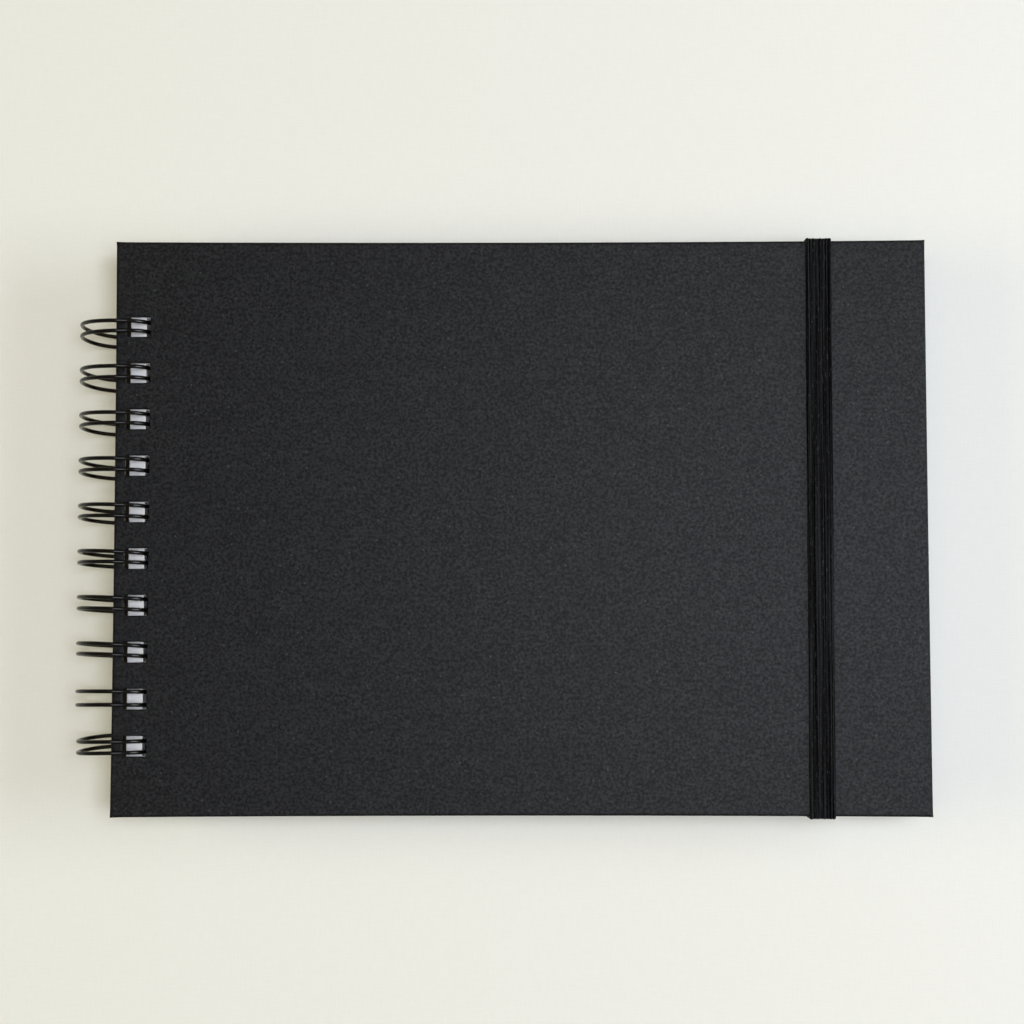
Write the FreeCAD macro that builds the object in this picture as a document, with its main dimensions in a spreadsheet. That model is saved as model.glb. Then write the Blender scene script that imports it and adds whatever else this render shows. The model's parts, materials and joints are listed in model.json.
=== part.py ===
import FreeCAD, Part
import math
import os

# A landscape hard-cover sketchbook in a twin-loop wire binding, closed by an elastic band.
# Millimetres. The book lies flat with its front cover up: +X runs from the wire to the fore edge,
# +Y from the cover's lower edge to its upper edge, +Z out of the front cover. The origin is below
# the middle of the whole object, level with the lowest point of the wire.

doc = FreeCAD.newDocument("sketchbook")

DIMENSIONS = {
    "cover_length": 221.7,      # spine edge to fore edge
    "cover_width": 156.9,
    "board_thickness": 1.85,    # grey board inside each cover
    "wrap_thickness": 0.2,      # black cover paper
    "wrap_fold": 14.0,          # how far the cover paper is folded in over the board
    "wrap_round": 0.4,          # rounding of the wrapped edges
    "lining_thickness": 0.15,
    "lining_inset": 3.0,        # border of cover paper left around each lining
    "block_thickness": 10.2,    # space for the sheets between the two covers
    "sheet_count": 60,
    "group_size": 5,            # sheets in one group
    "sheet_length": 210.0,      # A5, landscape
    "sheet_width": 148.0,
    "sheet_thickness": 0.16,
    "sheet_hole": 4.8,          # side of a square punched hole
    "sheet_margin": 4.0,        # spine edge of a sheet to its holes
    "hole_count": 10,
    "hole_pitch": 12.7,         # two loops to the inch
    "hole_first": 54.93,        # height of the uppermost hole above the book's middle
    "cover_hole_length": 6.2,   # along X
    "cover_hole_width": 5.65,   # along Y
    "cover_hole_round": 0.7,
    "cover_margin": 3.4,        # spine edge of a cover to its holes
    "wire_diameter": 1.0,
    "ring_radius": 10.0,        # to the middle of the wire
    "axis_setback": 0.5,        # the ring's axis stands this far outside the spine edge
    "back_height": 2.1,         # underside of the back cover above the lowest wire
    "strand_gap": 3.1,          # between the two strands of a loop
    "link_round": 1.2,          # bend between a strand and the link to the next loop
    "link_angle": 281.0,        # where the links run along the ring, under the back cover
    "tip_angle": 289.0,         # where the closed ends of the loops stop
    "band_start": 189.0,        # spine edge to the near edge of the elastic
    "band_width": 7.0,
    "band_thickness": 0.8,
    "band_clearance": 0.05,
    "band_round": 0.3,          # inside bend of the elastic at the cover edges
    "wire_clearance": 0.2,      # left edge of a sheet's hole to the wire it hangs on
}

sheet = doc.addObject("Spreadsheet::Sheet", "dims")
for row, (alias, value) in enumerate(DIMENSIONS.items(), start=1):
    sheet.set(f"A{row}", str(value))
    sheet.setAlias(f"A{row}", alias)
doc.recompute()


def size(alias):
    """The value of a spreadsheet cell, for shapes that code has to work out."""
    return float(sheet.get(alias))


# Places worked out from the driving dimensions, as expressions on the spreadsheet.
OVERHANG = "(dims.axis_setback + dims.ring_radius + dims.wire_diameter / 2)"
SPINE_X = f"(({OVERHANG} - dims.cover_length) / 2)"
COVER_THICKNESS = ("(dims.wrap_thickness * 2 + dims.board_thickness"
                   " + dims.lining_thickness)")
BACK_FACE = "dims.back_height"
FRONT_FACE = f"(dims.back_height + 2 * {COVER_THICKNESS} + dims.block_thickness)"

# The same places as numbers.
overhang = size("axis_setback") + size("ring_radius") + size("wire_diameter") / 2
spine_x = (overhang - size("cover_length")) / 2
axis_x = spine_x - size("axis_setback")
axis_z = size("ring_radius") + size("wire_diameter") / 2
cover_thickness = size("wrap_thickness") * 2 + size("board_thickness") + size("lining_thickness")
block_floor = size("back_height") + cover_thickness
front_face = block_floor + size("block_thickness") + cover_thickness
hole_rows = [size("hole_first") - size("hole_pitch") * index for index in range(int(size("hole_count")))]

sub_parts = []


def keep(feature, label):
    """Name a finished sub-part and put it on the list that is exported."""
    feature.Label = label
    sub_parts.append(feature)
    return feature


def bound_box(name, sizes, corner):
    """A box whose three sizes and lowest corner are expressions on the spreadsheet."""
    box = doc.addObject("Part::Box", name)
    for prop, expression in zip(("Length", "Width", "Height"), sizes):
        box.setExpression(prop, expression)
    for axis, expression in zip("xyz", corner):
        box.setExpression(f"Placement.Base.{axis}", expression)
    return box


def centred_layer(name, inset, depth, thickness, front):
    """A rectangular layer of a cover: inset from its edges, at a depth below its outer face."""
    if front:
        low = f"{FRONT_FACE} - ({depth}) - ({thickness})"
    else:
        low = f"{BACK_FACE} + ({depth})"
    sizes = (f"dims.cover_length - 2 * ({inset})", f"dims.cover_width - 2 * ({inset})", thickness)
    corner = (f"{SPINE_X} + ({inset})", f"-dims.cover_width / 2 + ({inset})", low)
    return bound_box(name, sizes, corner)


def boolean(kind, name, base, tool):
    feature = doc.addObject(kind, name)
    feature.Base = base
    feature.Tool = tool
    return feature


def rounded(name, base, radius, wanted):
    """Fillet the edges of base for which wanted(edge) is true."""
    doc.recompute()
    fillet = doc.addObject("Part::Fillet", name)
    fillet.Base = base
    fillet.Edges = [(number, radius, radius) for number, edge in enumerate(base.Shape.Edges, start=1)
                    if wanted(edge)]
    return fillet


def runs_along(edge, axis):
    direction = edge.Vertexes[1].Point - edge.Vertexes[0].Point
    return abs(abs(direction.normalize().dot(axis)) - 1.0) < 1e-6


# The row of punched holes, one tall rounded prism for each, used on every layer of both covers.
def punch_row():
    length, width = size("cover_hole_length"), size("cover_hole_width")
    height = front_face + size("back_height")
    prisms = []
    for y in hole_rows:
        corner = FreeCAD.Vector(spine_x + size("cover_margin"), y - width / 2, 0)
        prism = Part.makeBox(length, width, height, corner)
        upright = [edge for edge in prism.Edges if runs_along(edge, FreeCAD.Vector(0, 0, 1))]
        prisms.append(prism.makeFillet(size("cover_hole_round"), upright))
    return Part.makeCompound(prisms)


punch = doc.addObject("Part::Feature", "cover_punch")
punch.Shape = punch_row()


# Covers: a board, the black paper that wraps it, and the lining pasted over the paper's folds.
def add_cover(side, front):
    board_depth = "dims.wrap_thickness"
    fold_depth = "dims.wrap_thickness + dims.board_thickness"
    lining_depth = "2 * dims.wrap_thickness + dims.board_thickness"
    outward = 1.0 if front else -1.0

    board = centred_layer(f"{side}_board_blank", "dims.wrap_thickness", board_depth,
                          "dims.board_thickness", front)
    keep(boolean("Part::Cut", f"{side}_board_cut", board, punch), f"{side}_board")

    blank = centred_layer(f"{side}_wrap_blank", "0", "0", lining_depth, front)
    doc.recompute()
    face_z = max(outward * vertex.Z for vertex in blank.Shape.Vertexes)

    def on_outer_face(edge):
        return all(abs(outward * vertex.Z - face_z) < 1e-6 for vertex in edge.Vertexes)

    outside = rounded(f"{side}_wrap_outside", blank, size("wrap_round"), on_outer_face)
    inside = centred_layer(f"{side}_wrap_inside", "dims.wrap_thickness", board_depth,
                           "dims.board_thickness", front)
    window = centred_layer(f"{side}_wrap_window", "dims.wrap_fold", fold_depth,
                           "dims.wrap_thickness", front)
    hollow = boolean("Part::Fuse", f"{side}_wrap_hollow", inside, window)
    shell = boolean("Part::Cut", f"{side}_wrap_shell", outside, hollow)
    keep(boolean("Part::Cut", f"{side}_wrap_cut", shell, punch), f"{side}_wrap")

    page = centred_layer(f"{side}_lining_page", "dims.lining_inset", lining_depth,
                         "dims.lining_thickness", front)
    filler = centred_layer(f"{side}_lining_filler", "dims.wrap_fold", fold_depth,
                           "dims.wrap_thickness", front)
    lining = boolean("Part::Fuse", f"{side}_lining_blank", page, filler)
    keep(boolean("Part::Cut", f"{side}_lining_cut", lining, punch), f"{side}_lining")


add_cover("back", False)
add_cover("front", True)


# Sheets: each one hangs on the wire by the left edges of its holes, so the stack follows the ring.
def sheet_solid(number):
    pitch = size("block_thickness") / size("sheet_count")
    low = block_floor + pitch * (number - 0.5) - size("sheet_thickness") / 2
    rise = (low + size("sheet_thickness") / 2 - axis_z) / size("ring_radius")
    slope = math.sqrt(1.0 - rise * rise)
    wire_x = axis_x + size("ring_radius") * slope
    hole_x = wire_x - size("wire_diameter") / 2 / slope - size("wire_clearance")
    left = hole_x - size("sheet_margin")
    corner = FreeCAD.Vector(left, -size("sheet_width") / 2, low)
    blank = Part.makeBox(size("sheet_length"), size("sheet_width"), size("sheet_thickness"), corner)
    side = size("sheet_hole")
    holes = [Part.makeBox(side, side, size("sheet_thickness"), FreeCAD.Vector(hole_x, y - side / 2, low))
             for y in hole_rows]
    return blank.cut(Part.makeCompound(holes))


def add_sheets(label, first, last):
    group = doc.addObject("Part::Feature", f"{label}_stack")
    group.Shape = Part.makeCompound([sheet_solid(number) for number in range(first, last + 1)])
    keep(group, label)


last_grouped = int(size("sheet_count")) - 1
group_size = int(size("group_size"))
for group_number, first_sheet in enumerate(range(1, last_grouped + 1, group_size), start=1):
    add_sheets(f"sheets_{group_number:02d}", first_sheet, min(first_sheet + group_size - 1, last_grouped))
add_sheets("top_sheet", last_grouped + 1, last_grouped + 1)


# Wire: each loop is two strands bent round the ring, joined at the tip and linked to its neighbours.
def wire_section(point, direction):
    circle = Part.makeCircle(size("wire_diameter") / 2, point, direction)
    return Part.Face(Part.Wire(circle))


def wire_loop():
    """One twin loop about the ring's axis at y = 0, out to the middle of the link on each side."""
    along = FreeCAD.Vector(0, 1, 0)
    radius, bend, half_gap = size("ring_radius"), size("link_round"), size("strand_gap") / 2
    start = math.radians(size("link_angle")) - bend / radius
    stop = math.radians(size("tip_angle")) + half_gap / radius
    turn = 360.0 - math.degrees(stop - start)

    def on_ring(angle, y):
        return FreeCAD.Vector(axis_x + radius * math.cos(angle), y, axis_z + radius * math.sin(angle))

    forward = FreeCAD.Vector(-math.sin(start), 0, math.cos(start))
    backward = FreeCAD.Vector(math.sin(stop), 0, -math.cos(stop))
    axis_point = FreeCAD.Vector(axis_x, 0, axis_z)
    strand = wire_section(on_ring(start, half_gap), forward).revolve(axis_point, along, turn)
    elbow = wire_section(on_ring(start, half_gap), forward).revolve(
        on_ring(start, half_gap + bend), forward.cross(along), 90)
    link_start = on_ring(start, half_gap + bend) + forward * bend
    link_length = size("hole_pitch") / 2 - half_gap - bend
    link = wire_section(link_start, along).extrude(along * link_length)
    half = strand.fuse([elbow, link])
    other_half = half.mirror(FreeCAD.Vector(0, 0, 0), along)
    tip = wire_section(on_ring(stop, half_gap), backward).revolve(
        on_ring(stop, 0), along.cross(backward), 180)
    return half.fuse([other_half, tip])


wire = doc.addObject("Part::Feature", "wire_binding_loops")
loop = wire_loop()
wire.Shape = Part.makeCompound([loop.translated(FreeCAD.Vector(0, y, 0)) for y in hole_rows])
keep(wire, "wire_binding")


# Elastic: a flat band in one closed loop round the covers near the fore edge.
def band_outline(name, offset, radius):
    """The space inside the band's loop, grown by offset, with its four long edges rounded."""
    sizes = ("dims.band_width", f"dims.cover_width + 2 * ({offset})",
             f"{FRONT_FACE} - {BACK_FACE} + 2 * ({offset})")
    corner = (f"{SPINE_X} + dims.band_start", f"-dims.cover_width / 2 - ({offset})",
              f"{BACK_FACE} - ({offset})")
    block = bound_box(f"{name}_block", sizes, corner)
    return rounded(name, block, radius, lambda edge: runs_along(edge, FreeCAD.Vector(1, 0, 0)))


band_outside = band_outline("band_outside", "dims.band_clearance + dims.band_thickness",
                            size("band_round") + size("band_thickness"))
band_inside = band_outline("band_inside", "dims.band_clearance", size("band_round"))
keep(boolean("Part::Cut", "elastic_band_loop", band_outside, band_inside), "elastic_band")

doc.recompute()
for item in doc.Objects:
    if "Invalid" in item.State or "Error" in item.State:
        raise RuntimeError(f"{item.Name} failed: {item.State}")
for item in sub_parts:
    if item.Shape.isNull() or not item.Shape.isValid():
        raise RuntimeError(f"{item.Label} has no valid shape")

os.makedirs("parts", exist_ok=True)
for item in sub_parts:
    item.Shape.exportStep(f"parts/{item.Label}.step")
    box = item.Shape.BoundBox
    print(f"{item.Label:14s} solids {len(item.Shape.Solids):2d} volume {item.Shape.Volume:10.2f} "
          f"x {box.XMin:.2f} {box.XMax:.2f} y {box.YMin:.2f} {box.YMax:.2f} z {box.ZMin:.2f} {box.ZMax:.2f}")
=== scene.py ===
import json
import math
import random

import bmesh
import bpy
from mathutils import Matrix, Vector

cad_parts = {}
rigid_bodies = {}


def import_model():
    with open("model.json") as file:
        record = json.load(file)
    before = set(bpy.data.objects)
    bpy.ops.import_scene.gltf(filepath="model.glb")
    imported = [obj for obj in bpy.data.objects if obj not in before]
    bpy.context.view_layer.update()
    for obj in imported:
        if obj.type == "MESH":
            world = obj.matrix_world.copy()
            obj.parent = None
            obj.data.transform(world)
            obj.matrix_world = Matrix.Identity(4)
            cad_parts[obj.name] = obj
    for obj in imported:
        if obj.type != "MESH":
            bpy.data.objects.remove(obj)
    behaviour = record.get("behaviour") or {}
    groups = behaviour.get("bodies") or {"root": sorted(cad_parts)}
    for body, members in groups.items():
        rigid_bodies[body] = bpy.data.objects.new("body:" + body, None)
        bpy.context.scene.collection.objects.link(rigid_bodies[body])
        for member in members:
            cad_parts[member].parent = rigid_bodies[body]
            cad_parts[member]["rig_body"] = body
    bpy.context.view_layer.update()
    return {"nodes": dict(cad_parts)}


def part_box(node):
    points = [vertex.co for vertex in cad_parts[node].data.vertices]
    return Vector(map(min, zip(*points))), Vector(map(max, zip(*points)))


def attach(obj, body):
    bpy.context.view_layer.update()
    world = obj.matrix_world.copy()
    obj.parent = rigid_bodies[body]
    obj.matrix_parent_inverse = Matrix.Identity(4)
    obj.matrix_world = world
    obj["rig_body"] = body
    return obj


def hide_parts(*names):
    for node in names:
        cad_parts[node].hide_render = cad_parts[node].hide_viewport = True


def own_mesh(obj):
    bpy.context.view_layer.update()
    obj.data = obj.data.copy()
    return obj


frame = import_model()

# A closed sketchbook with black paper-covered boards, a twin-loop wire and an elastic band, lying
# on a pale floor. Metres, in the CAD's frame: +X from the wire to the fore edge, +Y to the cover's
# upper edge, +Z out of the front cover.

MM = 0.001
RANDOM = random.Random(41)

# Places read from the frame.
FRONT_LOW, FRONT_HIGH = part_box("front_wrap")
BACK_LOW, BACK_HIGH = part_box("back_wrap")
BOARD_LOW, BOARD_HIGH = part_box("front_board")
BACK_BOARD_LOW, BACK_BOARD_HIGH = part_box("back_board")
LINING_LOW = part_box("front_lining")[0]
BACK_LINING_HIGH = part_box("back_lining")[1]
WIRE_LOW, WIRE_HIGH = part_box("wire_binding")
BAND_LOW, BAND_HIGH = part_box("elastic_band")
SPINE_X = FRONT_LOW.x
COVER_LENGTH = FRONT_HIGH.x - FRONT_LOW.x
COVER_WIDTH = FRONT_HIGH.y - FRONT_LOW.y
COVER_MIDDLE = Vector(((FRONT_LOW.x + FRONT_HIGH.x) / 2, (FRONT_LOW.y + FRONT_HIGH.y) / 2))

# Sizes of the book that the frame's boxes don't give.
WRAP = 0.2 * MM                 # thickness of the cover paper
FOLD = 14.0 * MM                # how far it is folded in over the board
PASTE = 0.01 * MM               # paste between the folded-in paper and the lining
HOLE_COUNT = 10
HOLE_PITCH = 12.7 * MM
HOLE_FIRST = 54.93 * MM         # height of the uppermost hole above the book's middle
HOLE_LENGTH = 6.95 * MM
HOLE_WIDTH = 5.65 * MM
HOLE_ROUND = 0.7 * MM
COVER_MARGIN = 2.75 * MM        # spine edge of a cover to its holes
SHEET_COUNT = 60
GROUP_SIZE = 5
SHEET_LENGTH = 210.0 * MM
SHEET_WIDTH = 148.0 * MM
SHEET_THICKNESS = 0.155 * MM
SHEET_MARGIN = 4.0 * MM
WIRE_RADIUS = 0.55 * MM
RING_RADIUS = 9.95 * MM         # to the wire's middle, from top to bottom
RING_REACH = 10.10 * MM         # the same from side to side: the ring is pressed a little flat
AXIS_SETBACK = 0.35 * MM        # the ring's middle stands this far outside the spine edge
STRAND_GAP = 3.1 * MM           # between the middles of a loop's two strands
LINK_ROUND = 1.2 * MM           # of the bend from a strand into the link to the next loop
LINK_ANGLE = math.radians(281)  # where the links lie round the ring
TIP_ANGLE = math.radians(289)   # where the loops' rounded tips lie, beside the links
WIRE_CLEARANCE = 0.12 * MM
SHEETS_REACH = 8.25 * MM        # as far past the spine edge as the uppermost sheets' holes come
SHEETS_DRIFT = 1.60 * MM        # how much less far the lowest sheets' holes come
BAND_CLEARANCE = 0.05 * MM
BAND_THICKNESS = 0.8 * MM
BAND_ROUND = 0.3 * MM
BAND_WIDTH = 6.9 * MM
BAND_SHIFT = -0.3 * MM          # its middle, from the CAD band's
BAND_SLANT = 0.24 * MM          # how much further that is at the upper edge, and less at the lower

AXIS_X = SPINE_X - AXIS_SETBACK
AXIS_Z = (WIRE_LOW.z + WIRE_HIGH.z) / 2
HOLE_ROWS = [HOLE_FIRST - HOLE_PITCH * index for index in range(HOLE_COUNT)]

# How far the middle of each cover edge is drawn in, and how far its pinched corners stand out.
EDGE_BOW = {"lower": 0.42 * MM, "fore": 0.10 * MM, "upper": 0.42 * MM, "spine": 0.23 * MM}
CORNER_PINCH = 0.1 * MM
PINCH_POWER = 110               # the higher, the shorter the pinched corners
EDGE_ROUND = 0.34 * MM
EDGE_ROLL = 2.4                 # the edge's round is this much wider than it is high
INNER_ROUND = 0.2 * MM
HOLE_LIP = 0.2 * MM
HOLLOW_ROUNDS = (0.15 * MM, 0.05 * MM)      # outer and inner edges of the paper's hollow
BOARD_ROUNDS = (0.16 * MM, 0.06 * MM)       # and of the board in it
BOARD_CLEARANCE = 0.01 * MM
LINING_ROUND = 0.03 * MM


# ---------------------------------------------------------------- mesh helpers

def new_object(name, vertices, faces):
    """A mesh object with outward normals, in the row frame."""
    mesh = bpy.data.meshes.new(name)
    mesh.from_pydata(vertices, [], faces)
    work = bmesh.new()
    work.from_mesh(mesh)
    bmesh.ops.recalc_face_normals(work, faces=work.faces)
    work.to_mesh(mesh)
    work.free()
    piece = bpy.data.objects.new(name, mesh)
    bpy.context.scene.collection.objects.link(piece)
    return piece


def smooth(piece, angle):
    piece.data.shade_smooth()
    piece.data.set_sharp_from_angle(angle=math.radians(angle))
    return piece


def ring_faces(ring_total, ring_size, closed):
    """Quads between consecutive rings of ring_size points, back to the first ring if closed."""
    faces = []
    for ring in range(ring_total if closed else ring_total - 1):
        here = ring * ring_size
        there = (ring + 1) % ring_total * ring_size
        for index in range(ring_size):
            beside = (index + 1) % ring_size
            faces.append((here + index, here + beside, there + beside, there + index))
    return faces


def loft(name, rings):
    """A closed solid through rings of equally many points, capped at both ends."""
    size = len(rings[0])
    vertices = [point for ring in rings for point in ring]
    faces = ring_faces(len(rings), size, closed=False)
    faces.append(tuple(range(size)))
    last = (len(rings) - 1) * size
    faces.append(tuple(range(last, last + size)))
    return new_object(name, vertices, faces)


def merged(name, solids):
    """One object from several solids that don't touch."""
    work = bmesh.new()
    for solid in solids:
        work.from_mesh(solid.data)
        bpy.data.objects.remove(solid)
    mesh = bpy.data.meshes.new(name)
    work.to_mesh(mesh)
    work.free()
    piece = bpy.data.objects.new(name, mesh)
    bpy.context.scene.collection.objects.link(piece)
    return piece


def cut(piece, *tools):
    """Subtract each tool from piece, and remove the tool."""
    for tool in tools:
        boolean = piece.modifiers.new("cut", "BOOLEAN")
        boolean.operation = "DIFFERENCE"
        boolean.solver = "EXACT"
        boolean.object = tool
        bpy.context.view_layer.update()
        graph = bpy.context.evaluated_depsgraph_get()
        mesh = bpy.data.meshes.new_from_object(piece.evaluated_get(graph))
        piece.modifiers.clear()
        piece.data = mesh
        bpy.data.objects.remove(tool)
    return piece


# ---------------------------------------------------------------- materials

class Paint:
    """A node material with a Principled shader and short ways to add nodes to it."""

    def __init__(self, name, roughness, specular):
        self.material = bpy.data.materials.new(name)
        self.material.use_nodes = True
        self.tree = self.material.node_tree
        self.shader = self.tree.nodes["Principled BSDF"]
        self.shader.inputs["Roughness"].default_value = roughness
        self.shader.inputs["Specular IOR Level"].default_value = specular
        self.place = self.tree.nodes.new("ShaderNodeTexCoord").outputs["Object"]

    def put(self, value, socket):
        if isinstance(value, bpy.types.NodeSocket):
            self.tree.links.new(value, socket)
        else:
            socket.default_value = value

    def stretched(self, x, y, z):
        """Object coordinates in millimetres, scaled along each axis."""
        node = self.tree.nodes.new("ShaderNodeVectorMath")
        node.operation = "MULTIPLY"
        self.put(self.place, node.inputs[0])
        node.inputs[1].default_value = (x / MM, y / MM, z / MM)
        return node.outputs[0]

    def noise(self, per_mm, detail, roughness=0.5, along=(1, 1, 1)):
        node = self.tree.nodes.new("ShaderNodeTexNoise")
        self.put(self.stretched(*along), node.inputs["Vector"])
        node.inputs["Scale"].default_value = per_mm
        node.inputs["Detail"].default_value = detail
        node.inputs["Roughness"].default_value = roughness
        return node.outputs["Fac"]

    def cells(self, per_mm):
        node = self.tree.nodes.new("ShaderNodeTexVoronoi")
        self.put(self.stretched(1, 1, 1), node.inputs["Vector"])
        node.inputs["Scale"].default_value = per_mm
        return node.outputs["Distance"]

    def waves(self, per_mm, direction, distortion):
        node = self.tree.nodes.new("ShaderNodeTexWave")
        node.bands_direction = direction
        self.put(self.stretched(1, 1, 1), node.inputs["Vector"])
        node.inputs["Scale"].default_value = per_mm * math.pi / 10
        node.inputs["Distortion"].default_value = distortion
        node.inputs["Detail"].default_value = 1.0
        return node.outputs["Fac"]

    def ramp(self, value, low, high, start=0.0, end=1.0):
        """value mapped from low..high to start..end, and held outside."""
        node = self.tree.nodes.new("ShaderNodeMapRange")
        self.put(value, node.inputs["Value"])
        node.inputs["From Min"].default_value = low
        node.inputs["From Max"].default_value = high
        node.inputs["To Min"].default_value = start
        node.inputs["To Max"].default_value = end
        return node.outputs["Result"]

    def sum(self, first, second, operation="ADD"):
        node = self.tree.nodes.new("ShaderNodeMath")
        node.operation = operation
        self.put(first, node.inputs[0])
        self.put(second, node.inputs[1])
        return node.outputs[0]

    def mix(self, share, first, second):
        node = self.tree.nodes.new("ShaderNodeMix")
        node.data_type = "RGBA"
        self.put(share, node.inputs["Factor"])
        for value, socket in ((first, node.inputs["A"]), (second, node.inputs["B"])):
            self.put(value if isinstance(value, bpy.types.NodeSocket) else (*value, 1.0), socket)
        return node.outputs["Result"]

    def colour(self, value):
        self.put(value, self.shader.inputs["Base Color"])

    def roughness(self, value):
        self.put(value, self.shader.inputs["Roughness"])

    def bump(self, height, depth, strength):
        """Bump of the given depth in metres."""
        node = self.tree.nodes.new("ShaderNodeBump")
        node.inputs["Strength"].default_value = strength
        node.inputs["Distance"].default_value = depth
        self.put(height, node.inputs["Height"])
        self.put(node.outputs["Normal"], self.shader.inputs["Normal"])


def make_cover_paper():
    """Black paper with a fine leathery grain, worn streaks, a cloudy tone and pale flecks."""
    paint = Paint("cover_paper", roughness=0.5, specular=0.18)
    grain = paint.noise(1.3, detail=3.0, roughness=0.6)
    pits = paint.cells(1.7)
    patches = paint.noise(0.12, detail=3.0, roughness=0.6)
    streaks = paint.noise(0.6, detail=2.0, along=(0.3, 1.6, 1.0))
    flecks = paint.cells(0.30)
    tone = paint.mix(paint.ramp(grain, 0.38, 0.64), (0.0004, 0.0004, 0.0004), (0.0168, 0.0171, 0.0176))
    tone = paint.mix(paint.ramp(streaks, 0.58, 0.76, 0.0, 0.45), tone, (0.0185, 0.0187, 0.0195))
    tone = paint.mix(paint.ramp(patches, 0.35, 0.68, 0.0, 0.3), tone, (0.0020, 0.0020, 0.0022))
    tone = paint.mix(paint.ramp(flecks, 0.04, 0.11, 0.8, 0.0), tone, (0.044, 0.045, 0.047))
    paint.colour(tone)
    paint.roughness(paint.ramp(grain, 0.3, 0.7, 0.55, 0.44))
    height = paint.sum(paint.sum(grain, 0.7, "MULTIPLY"), paint.sum(pits, 0.3, "MULTIPLY"))
    paint.bump(height, 0.07 * MM, 0.75)
    return paint.material


def make_board():
    """Dark grey board seen only in the punched holes, with pressed fibres."""
    paint = Paint("board_core", roughness=0.85, specular=0.25)
    fibres = paint.noise(2.2, detail=4.0, roughness=0.7, along=(1, 1, 5))
    paint.colour(paint.mix(paint.ramp(fibres, 0.35, 0.7), (0.008, 0.008, 0.008), (0.038, 0.037, 0.036)))
    paint.bump(fibres, 0.1 * MM, 0.7)
    return paint.material


def make_lining():
    """Smooth black lining paper with a faint laid grain."""
    paint = Paint("lining_paper", roughness=0.78, specular=0.3)
    fibres = paint.noise(1.4, detail=4.0, roughness=0.65, along=(0.35, 1.4, 1))
    clouds = paint.noise(0.06, detail=3.0)
    tone = paint.mix(paint.ramp(fibres, 0.35, 0.7), (0.014, 0.014, 0.015), (0.027, 0.027, 0.029))
    paint.colour(paint.mix(paint.ramp(clouds, 0.4, 0.7, 0.0, 0.35), tone, (0.032, 0.032, 0.033)))
    paint.bump(fibres, 0.03 * MM, 0.5)
    return paint.material


def make_paper():
    """White drawing paper: a toothed face, and sheet edges that differ a little in tone."""
    paint = Paint("drawing_paper", roughness=0.82, specular=0.22)
    tooth = paint.noise(3.4, detail=4.0, roughness=0.65)
    layers = paint.noise(6.2, detail=0.0, along=(0, 0, 1))
    fibres = paint.noise(0.8, detail=3.0, along=(0.5, 0.5, 3))
    tone = paint.mix(paint.ramp(tooth, 0.3, 0.7), (0.86, 0.86, 0.86), (0.92, 0.92, 0.925))
    tone = paint.mix(paint.ramp(layers, 0.35, 0.65, 0.0, 0.35), tone, (0.74, 0.73, 0.705))
    paint.colour(paint.mix(paint.ramp(fibres, 0.55, 0.8, 0.0, 0.25), tone, (0.82, 0.815, 0.80)))
    paint.bump(tooth, 0.03 * MM, 0.45)
    return paint.material


def make_wire():
    """Steel wire under a glossy black coat with slight draw marks and rubbed spots."""
    paint = Paint("binding_wire", roughness=0.16, specular=0.24)
    marks = paint.noise(2.0, detail=3.0, along=(1, 0.4, 1))
    rubbed = paint.noise(0.5, detail=4.0, roughness=0.7)
    tone = paint.mix(paint.ramp(marks, 0.4, 0.7), (0.0030, 0.0027, 0.0022), (0.0070, 0.0062, 0.0050))
    paint.colour(paint.mix(paint.ramp(rubbed, 0.66, 0.76, 0.0, 0.4), tone, (0.026, 0.023, 0.018)))
    paint.roughness(paint.ramp(rubbed, 0.4, 0.75, 0.11, 0.26))
    paint.bump(marks, 0.015 * MM, 0.3)
    return paint.material


def make_elastic():
    """Black woven elastic: cords along it, picks across them, and pale lines along it that are lint and
    painted sheen on the cords.
    """
    paint = Paint("elastic", roughness=0.6, specular=0.04)
    picks = paint.waves(1.9, "Y", distortion=1.2)
    yarn = paint.noise(2.6, detail=3.0, roughness=0.6, along=(1.5, 0.008, 0.008))
    # Pale lengthwise lines: lint, and painted sheen on the cords in the base colour.
    lint_and_sheen = paint.noise(1.1, detail=4.0, roughness=0.75, along=(3.0, 0.5, 0.5))
    tone = paint.mix(paint.ramp(yarn, 0.44, 0.64), (0.0002, 0.0002, 0.0002), (0.0210, 0.0216, 0.0230))
    tone = paint.mix(paint.ramp(picks, 0.2, 0.9, 0.0, 0.35), tone, (0.0012, 0.0012, 0.0012))
    paint.colour(paint.mix(paint.ramp(lint_and_sheen, 0.58, 0.74, 0.0, 0.9), tone, (0.062, 0.064, 0.066)))
    height = paint.sum(paint.sum(picks, 0.5, "MULTIPLY"), yarn)
    paint.bump(height, 0.12 * MM, 0.7)
    return paint.material


def make_floor():
    """Pale warm table top with a barely visible linen texture."""
    paint = Paint("floor", roughness=0.9, specular=0.2)
    linen = paint.sum(paint.noise(0.9, detail=2.0, along=(2.5, 0.25, 1)),
                      paint.noise(0.9, detail=2.0, along=(0.25, 2.5, 1)))
    paint.colour(paint.mix(paint.ramp(linen, 0.6, 1.4), (0.775, 0.770, 0.710), (0.805, 0.800, 0.740)))
    paint.bump(linen, 0.05 * MM, 0.35)
    return paint.material


MATERIALS = {
    "cover_paper": make_cover_paper(),
    "grey_board": make_board(),
    "lining_paper": make_lining(),
    "drawing_paper": make_paper(),
    "binding_wire": make_wire(),
    "elastic": make_elastic(),
}


def dress(piece, slot):
    """Give a piece one material, the one that slot names."""
    piece.data.materials.clear()
    piece.data.materials.append(MATERIALS[slot])
    return piece


# ---------------------------------------------------------------- covers

def edge_inset(side, position):
    """How far an edge is drawn in at -1..1 along it: most in the middle, nothing at the corners."""
    return EDGE_BOW[side] * (1 - position ** 2) + CORNER_PINCH * (1 - abs(position) ** PINCH_POWER)


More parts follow.
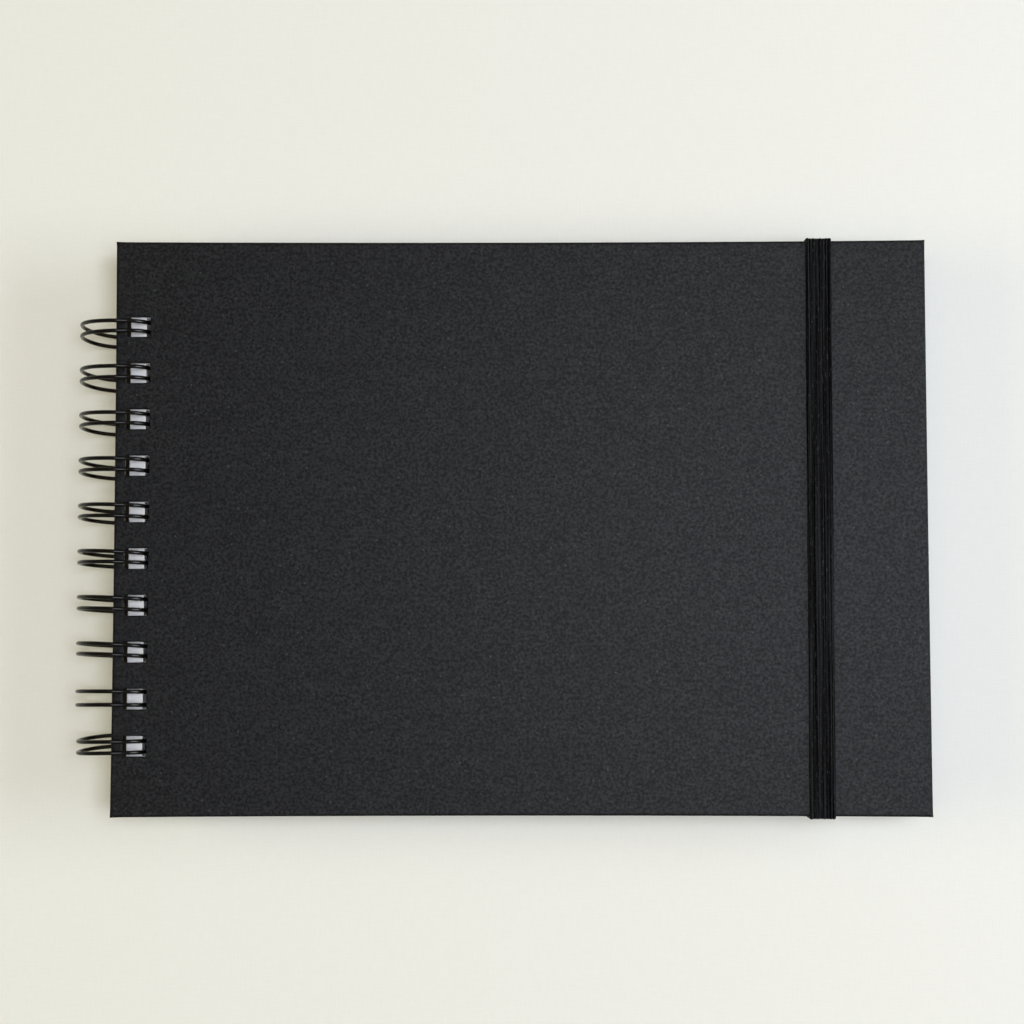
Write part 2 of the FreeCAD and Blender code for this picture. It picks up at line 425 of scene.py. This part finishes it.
def cover_outline(inset, z):
    """The cover's outline, inset from its own edge, as points at height z, counterclockwise."""
    half_x = COVER_LENGTH / 2 - inset
    half_y = COVER_WIDTH / 2 - inset
    steps = 44
    points = []
    for side, way in (("lower", 1), ("fore", 1), ("upper", -1), ("spine", -1)):
        for step in range(steps):
            along = way * math.sin((step / steps - 0.5) * math.pi)
            drawn_in = edge_inset(side, along)
            if side in ("lower", "upper"):
                x, y = along * half_x, way * (drawn_in - half_y)
            else:
                x, y = way * (half_x - drawn_in), along * half_y
            points.append((x + COVER_MIDDLE.x, y + COVER_MIDDLE.y, z))
    return points


def cover_slab(name, inset, outer_z, inner_z, outer_round, inner_round, roll=1.0):
    """A slab in the cover's outline, with its outer and inner edges rounded over. The outer edge
    falls away over roll times its round, so that a roll above 1 makes it flatter than a circle."""
    outward = 1.0 if outer_z > inner_z else -1.0
    arc_steps = 9
    flat = 0.4 * MM
    rings = [cover_outline(inset + outer_round * roll + flat, outer_z)]
    for step in range(arc_steps + 1):
        turn = step / arc_steps * math.pi / 2
        rings.append(cover_outline(inset + outer_round * roll * (1 - math.sin(turn)),
                                   outer_z - outward * outer_round * (1 - math.cos(turn))))
    for step in range(arc_steps + 1):
        turn = step / arc_steps * math.pi / 2
        rings.append(cover_outline(inset + inner_round * (1 - math.cos(turn)),
                                   inner_z + outward * inner_round * (1 - math.sin(turn))))
    rings.append(cover_outline(inset + inner_round + flat, inner_z))
    return loft(name, rings)


def hole_outline(y, grow, z):
    """One punched hole's rounded outline, grown outward by grow."""
    half_x = HOLE_LENGTH / 2 + grow
    half_y = HOLE_WIDTH / 2 + grow
    radius = HOLE_ROUND + grow
    centre_x = SPINE_X + COVER_MARGIN + HOLE_LENGTH / 2
    points = []
    corner_steps = 6
    for corner in range(4):
        side_x = 1 if corner in (0, 3) else -1
        side_y = 1 if corner in (0, 1) else -1
        for step in range(corner_steps + 1):
            turn = (corner + step / corner_steps) * math.pi / 2
            points.append((centre_x + side_x * (half_x - radius) + radius * math.cos(turn),
                           y + side_y * (half_y - radius) + radius * math.sin(turn), z))
    return points


def hole_punches(name, outer_z, inner_z):
    """The row of holes as solids, flared where they leave the cover's outer and inner faces."""
    outward = 1.0 if outer_z > inner_z else -1.0
    beyond = 1.0 * MM
    prisms = []
    for number, y in enumerate(HOLE_ROWS):
        rings = [hole_outline(y, HOLE_LIP, outer_z + outward * beyond),
                 hole_outline(y, HOLE_LIP, outer_z),
                 hole_outline(y, HOLE_LIP * 0.35, outer_z - outward * HOLE_LIP * 0.3),
                 hole_outline(y, 0.0, outer_z - outward * HOLE_LIP * 0.9),
                 hole_outline(y, 0.0, inner_z - outward * beyond)]
        prisms.append(loft(f"{name}_{number}", rings))
    return merged(name, prisms)


def inner_window(name, board_z, inner_z):
    """The space inside the folded-in border of cover paper, from the board out past the paper."""
    outward = 1.0 if board_z > inner_z else -1.0
    beyond = 0.3 * MM
    low_x, high_x = FRONT_LOW.x + FOLD, FRONT_HIGH.x - FOLD
    low_y, high_y = FRONT_LOW.y + FOLD, FRONT_HIGH.y - FOLD
    corners = [(low_x, low_y), (high_x, low_y), (high_x, high_y), (low_x, high_y)]
    rings = [[(x, y, z) for x, y in corners]
             for z in (board_z + outward * beyond, inner_z - outward * beyond)]
    return loft(name, rings)


def make_lining_sheet(side, body, outer_z, inner_z):
    """The lining pasted over the folded-in paper inside a cover, punched with it."""
    lining = cover_slab(f"{side}_lining_paper", LINING_LOW.x - SPINE_X, outer_z, inner_z,
                        LINING_ROUND, LINING_ROUND)
    cut(lining, hole_punches(f"{side}_lining_punch", outer_z, inner_z))
    smooth(dress(lining, "lining_paper"), 20)
    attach(lining, body)
    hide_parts(f"{side}_lining")


def make_cover(side, body, outer_z, board_outer_z, board_inner_z, inner_z):
    """The cover paper and the board in it, both punched."""
    wrap = cover_slab(f"{side}_cover_paper", 0.0, outer_z, inner_z, EDGE_ROUND, INNER_ROUND, EDGE_ROLL)
    hollow = cover_slab(f"{side}_hollow", WRAP, board_outer_z, board_inner_z, *HOLLOW_ROUNDS)
    cut(wrap, hollow, inner_window(f"{side}_window", board_inner_z, inner_z),
        hole_punches(f"{side}_wrap_punch", outer_z, inner_z))
    board = cover_slab(f"{side}_cover_board", WRAP + BOARD_CLEARANCE, board_outer_z, board_inner_z,
                       *BOARD_ROUNDS)
    cut(board, hole_punches(f"{side}_board_punch", outer_z, inner_z))
    for piece, slot, node in ((wrap, "cover_paper", f"{side}_wrap"),
                              (board, "grey_board", f"{side}_board")):
        smooth(dress(piece, slot), 20)
        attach(piece, body)
        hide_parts(node)


make_cover("front", "front_cover", FRONT_HIGH.z, BOARD_HIGH.z, BOARD_LOW.z, FRONT_LOW.z)
make_cover("back", "back_cover", BACK_LOW.z, BACK_BOARD_LOW.z, BACK_BOARD_HIGH.z, BACK_HIGH.z)
make_lining_sheet("front", "front_cover", FRONT_LOW.z - PASTE, LINING_LOW.z)
make_lining_sheet("back", "back_cover", BACK_HIGH.z + PASTE, BACK_LINING_HIGH.z)


# ---------------------------------------------------------------- sheets

def sheet_mesh(number, low_z):
    """One punched sheet: vertices and faces, hanging on the wire a little unevenly."""
    middle_z = low_z + SHEET_THICKNESS / 2
    slope = math.sqrt(1 - ((middle_z - AXIS_Z) / RING_RADIUS) ** 2)
    drift = SHEETS_DRIFT * (1 - (number / (SHEET_COUNT - 1)) ** 3)
    hole_x = min(AXIS_X + RING_REACH * slope - WIRE_RADIUS / slope - WIRE_CLEARANCE,
                 SPINE_X + SHEETS_REACH - drift)
    shift_x = RANDOM.uniform(-0.12, 0.10) * MM
    shift_y = RANDOM.uniform(-0.14, 0.14) * MM
    turn = RANDOM.uniform(-0.0007, 0.0007)
    left = hole_x - SHEET_MARGIN + shift_x
    columns = [left, hole_x + shift_x, hole_x + shift_x + HOLE_LENGTH, left + SHEET_LENGTH]
    rows = [-SHEET_WIDTH / 2 + shift_y]
    for y in reversed(HOLE_ROWS):
        rows += [y - HOLE_WIDTH / 2 + shift_y, y + HOLE_WIDTH / 2 + shift_y]
    rows.append(SHEET_WIDTH / 2 + shift_y)

    def place(x, y, z):
        return (x - turn * y, y + turn * (x - hole_x), z)

    across = len(columns)
    layer = across * len(rows)
    vertices = [place(x, y, z) for z in (low_z, low_z + SHEET_THICKNESS) for y in rows for x in columns]
    open_cells = {(1, 2 * index + 1) for index in range(HOLE_COUNT)}
    cells = [(column, row) for row in range(len(rows) - 1) for column in range(across - 1)]
    solid = [cell for cell in cells if cell not in open_cells]
    faces = []
    for column, row in solid:
        a = row * across + column
        b, c, d = a + 1, a + 1 + across, a + across
        faces.append((a, d, c, b))
        faces.append((a + layer, b + layer, c + layer, d + layer))
        sides = (((column, row - 1), a, b), ((column + 1, row), b, c),
                 ((column, row + 1), c, d), ((column - 1, row), d, a))
        for neighbour, start, end in sides:
            if neighbour not in solid:
                faces.append((start, end, end + layer, start + layer))
    return vertices, faces


def make_sheets():
    first_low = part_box("sheets_01")[0].z
    last_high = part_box("top_sheet")[1].z
    pitch = (last_high - first_low - SHEET_THICKNESS) / (SHEET_COUNT - 1)
    grouped = SHEET_COUNT - 1
    groups = [(f"sheets_{index // GROUP_SIZE + 1:02d}", range(index, min(index + GROUP_SIZE, grouped)))
              for index in range(0, grouped, GROUP_SIZE)]
    groups.append(("top_sheet", range(grouped, SHEET_COUNT)))
    for node, numbers in groups:
        vertices, faces = [], []
        for number in numbers:
            base = len(vertices)
            new_vertices, new_faces = sheet_mesh(number, first_low + pitch * number)
            vertices += new_vertices
            faces += [tuple(base + index for index in face) for face in new_faces]
        piece = new_object(f"{node}_paper", vertices, faces)
        dress(piece, "drawing_paper")
        body = frame["nodes"][node]["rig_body"]
        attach(piece, body)
        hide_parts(node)


make_sheets()


# ---------------------------------------------------------------- wire

# Loops whose strands stand closer together in the holes, and by how much of their gap.
PINCHED_LOOPS = {0: 0.19, 2: 0.14, 5: 0.18}


def loop_shape(number):
    """The small unevenness of one loop, in metres: its drift sideways where it passes the spine
    edge and at its outermost point, its lean, the gap between its strands, and its growth."""
    tip = (-0.6 + 0.2 * number) * MM
    side = tip - 0.43 * MM
    lean = (1.5 - 0.1 * number) * MM
    gap, grow = STRAND_GAP, 0.0
    if number == 7:
        lean, gap = 1.1 * MM, 2.85 * MM
    if number == 8:
        side, tip, lean, gap = 0.0, 0.0, 1.0 * MM, 3.7 * MM
    if number == 9:
        side, tip, lean, grow = 0.2 * MM, -0.35 * MM, -0.4 * MM, -0.4 * MM
    return side, tip, lean, gap, grow


def loop_path(number):
    """Points of one twin loop, from the middle of the link above it to the middle of the one below:
    pairs of a place along the ring, as an angle, and a height relative to the hole's row."""
    gap = loop_shape(number)[3]
    half = gap / 2
    bend = LINK_ROUND / RING_RADIUS
    start = LINK_ANGLE - bend
    stop = TIP_ANGLE - 2 * math.pi + half / RING_RADIUS
    quarter = [step / 5 * math.pi / 2 for step in range(6)]
    link = [(LINK_ANGLE, HOLE_PITCH / 2), (LINK_ANGLE, (HOLE_PITCH / 2 + half + LINK_ROUND) / 2)]
    elbow = [(LINK_ANGLE - bend * (1 - math.cos(turn)), half + LINK_ROUND * (1 - math.sin(turn)))
             for turn in quarter]
    strand_steps = 90
    strand = [(start + (stop - start) * step / strand_steps, half) for step in range(1, strand_steps)]
    tip_steps = 10
    tip = [(stop - half / RING_RADIUS * math.sin(step / tip_steps * math.pi),
            half * math.cos(step / tip_steps * math.pi)) for step in range(tip_steps + 1)]
    upper = link + elbow + strand
    lower = [(angle, -y) for angle, y in reversed(upper)]
    return upper + tip + lower[:-1]


def wire_point(number, angle, y):
    """A point of the wire's middle line, at an angle round the ring and a height y from its row."""
    side, tip, lean, gap, grow = loop_shape(number)
    hold = -0.1 * MM                # where the strands stand in the hole
    # The drift is hold in the hole, side over and under the spine edge, and tip at the far side.
    cosine_part = (hold - tip) / 2
    base = (hold + tip) / 4 + side / 2
    second_part = base - side
    drift = (base + cosine_part * math.cos(angle) + second_part * math.cos(2 * angle)
             + lean / 2 * math.sin(angle))
    free = HOLE_PITCH / 2 - gap / 2 - LINK_ROUND
    share = min(1.0, max(0.0, (HOLE_PITCH / 2 - abs(y)) / free))
    pinch = PINCHED_LOOPS.get(number, 0.05) * (1 + math.cos(angle)) / 2
    reach = RING_REACH + grow * max(0.0, -math.cos(angle)) ** 2
    return Vector((AXIS_X + reach * math.cos(angle),
                   HOLE_ROWS[number] + y * (1 - pinch * share) + drift * share,
                   AXIS_Z + RING_RADIUS * math.sin(angle)))


def make_wire_binding():
    points, radials = [], []
    for number in range(HOLE_COUNT):
        for angle, y in loop_path(number):
            points.append(wire_point(number, angle, y))
            radials.append(Vector((math.cos(angle), 0, math.sin(angle))))
    rings = []
    sides = 14
    for index, point in enumerate(points):
        before = points[max(0, index - 1)]
        after = points[min(len(points) - 1, index + 1)]
        tangent = (after - before).normalized()
        across = tangent.cross(radials[index]).normalized()
        outward = across.cross(tangent)
        rings.append([tuple(point + WIRE_RADIUS * (math.cos(turn) * outward + math.sin(turn) * across))
                      for turn in (step / sides * 2 * math.pi for step in range(sides))])
    wire = smooth(loft("twin_loop_wire", rings), 50)
    dress(wire, "binding_wire")
    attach(wire, "back_cover")
    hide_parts("wire_binding")


make_wire_binding()


# ---------------------------------------------------------------- elastic

def band_path():
    """The closed path of the elastic's inner face in the YZ plane: points with outward normals."""
    position = ((BAND_LOW.x + BAND_HIGH.x) / 2 - COVER_MIDDLE.x) / (COVER_LENGTH / 2)
    low_y = FRONT_LOW.y + edge_inset("lower", position) - BAND_CLEARANCE
    high_y = FRONT_HIGH.y - edge_inset("upper", position) + BAND_CLEARANCE
    low_z = BACK_LOW.z - BAND_CLEARANCE
    high_z = FRONT_HIGH.z + BAND_CLEARANCE
    corners = [(low_y, low_z, 180), (high_y, low_z, 270), (high_y, high_z, 0), (low_y, high_z, 90)]
    run_steps = {0: 70, 1: 8, 2: 70, 3: 8}
    path = []
    for index, (y, z, first) in enumerate(corners):
        centre_y = y + (BAND_ROUND if y < 0 else -BAND_ROUND)
        centre_z = z + (BAND_ROUND if index < 2 else -BAND_ROUND)
        corner_steps = 8
        for step in range(corner_steps + 1):
            turn = math.radians(first + 90 * step / corner_steps)
            path.append((centre_y + BAND_ROUND * math.cos(turn), centre_z + BAND_ROUND * math.sin(turn),
                         math.cos(turn), math.sin(turn)))
        start = path[-1]
        following_y, following_z, following = corners[(index + 1) % 4]
        end_y = following_y + (BAND_ROUND if following_y < 0 else -BAND_ROUND)
        end_z = following_z + (BAND_ROUND if (index + 1) % 4 < 2 else -BAND_ROUND)
        turn = math.radians(following)
        end_y += BAND_ROUND * math.cos(turn)
        end_z += BAND_ROUND * math.sin(turn)
        steps = run_steps[index]
        for step in range(1, steps):
            share = step / steps
            path.append((start[0] + (end_y - start[0]) * share, start[1] + (end_z - start[1]) * share,
                         start[2], start[3]))
    return path


def band_section():
    """The elastic's section: (place across 0..1, height 0..1) round the ribbed outer and inner faces.
    The cords under the weave differ a little in width and height."""
    widths = [1.1, 0.9, 1.0, 1.15, 0.95, 1.05, 0.85, 1.1]
    heights = [1.0, 0.86, 0.93, 0.82, 0.95, 0.85, 0.96, 0.97]
    groove = 0.3
    steps = 6
    outer = []
    start = 0.0
    for width, height in zip(widths, heights):
        for step in range(steps):
            part = step / steps
            swell = math.sqrt(1 - (2 * part - 1) ** 2)
            outer.append((start + width * part, 1 - groove + (height - 1 + groove) * swell))
        start += width
    outer.append((start, 1 - groove))
    outer = [(across / start, height) for across, height in outer]
    inner = [(across, 0.25 * (1 - height)) for across, height in reversed(outer)]
    return outer + inner


def make_elastic_band():
    section = band_section()
    rings = []
    for y, z, normal_y, normal_z in band_path():
        middle = (BAND_LOW.x + BAND_HIGH.x) / 2 + BAND_SHIFT + BAND_SLANT * y / BAND_HIGH.y
        sway = 0.03 * MM * math.sin(y / (9 * MM)) + 0.02 * MM * math.sin(y / (3.1 * MM) + 1)
        width = BAND_WIDTH * (1 + 0.006 * math.sin(y / (13 * MM)))
        ring = []
        for across, height in section:
            lift = height * BAND_THICKNESS
            x = middle + sway + (across - 0.5) * width
            ring.append((x, y + normal_y * lift, z + normal_z * lift))
        rings.append(ring)
    vertices = [point for ring in rings for point in ring]
    band = new_object("elastic_strap", vertices, ring_faces(len(rings), len(section), closed=True))
    dress(smooth(band, 60), "elastic")
    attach(band, "elastic")
    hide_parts("elastic_band")
    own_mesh(band)


make_elastic_band()


# ---------------------------------------------------------------- stage

LAMP_AIM = Vector((0, 0, 10 * MM))


def make_stage():
    half = 1.0
    floor = new_object("floor", [(-half, -half, 0), (half, -half, 0), (half, half, 0), (-half, half, 0)],
                       [(0, 1, 2, 3)])
    floor.location.z = -0.02 * MM
    floor.data.materials.append(make_floor())


def add_area(name, location, size, power, colour):
    """A soft rectangular lamp aimed at the middle of the book."""
    light = bpy.data.lights.new(name, "AREA")
    light.shape = "RECTANGLE"
    light.size, light.size_y = size
    light.energy = power
    light.color = colour
    lamp = bpy.data.objects.new(name, light)
    lamp.location = location
    lamp.rotation_euler = (LAMP_AIM - lamp.location).to_track_quat("-Z", "Y").to_euler()
    bpy.context.scene.collection.objects.link(lamp)
    return lamp


def make_room():
    """Pale walls that carry on from the floor, under a dim warm ceiling."""
    world = bpy.data.worlds.new("studio")
    world.use_nodes = True
    nodes, links = world.node_tree.nodes, world.node_tree.links
    direction = nodes.new("ShaderNodeSeparateXYZ")
    links.new(nodes.new("ShaderNodeTexCoord").outputs["Generated"], direction.inputs[0])
    height = nodes.new("ShaderNodeMapRange")
    height.inputs["From Min"].default_value = 0.08
    height.inputs["From Max"].default_value = 0.35
    links.new(direction.outputs["Z"], height.inputs["Value"])
    blend = nodes.new("ShaderNodeMix")
    blend.data_type = "RGBA"
    blend.inputs["A"].default_value = (0.58, 0.565, 0.52, 1)
    blend.inputs["B"].default_value = (0.205, 0.174, 0.146, 1)
    links.new(height.outputs["Result"], blend.inputs["Factor"])
    links.new(blend.outputs["Result"], nodes["Background"].inputs["Color"])
    return world


def make_light():
    bpy.context.scene.world = make_room()
    add_area("high_window", (0.36, 0.0, 1.47), (0.8, 0.8), 14.2, (0.91, 0.97, 1.10))
    add_area("low_window", (1.40, 0.05, 0.54), (1.0, 0.55), 15.2, (0.94, 1.0, 1.10))
    warm_fill = add_area("warm_fill", (-1.36, 0.0, 0.654), (1.0, 0.6), 7.2, (1.12, 1.0, 0.44))
    # It stands for light from the room, so no surface mirrors it.
    warm_fill.visible_glossy = False
    bpy.context.scene.view_settings.view_transform = "Standard"


def make_camera():
    """A camera above the book, a little below its middle and tipped back towards the top."""
    data = bpy.data.cameras.new("camera")
    data.sensor_width = 36.0
    data.lens = 59.9
    camera = bpy.data.objects.new("camera", data)
    camera.location = (SPINE_X + 111.1 * MM, FRONT_LOW.y + 55.65 * MM, FRONT_HIGH.z + 462.1 * MM)
    camera.rotation_euler = (0.0577, 0.0056, -0.0012)
    bpy.context.scene.collection.objects.link(camera)
    bpy.context.scene.camera = camera


make_stage()
make_light()
make_camera()
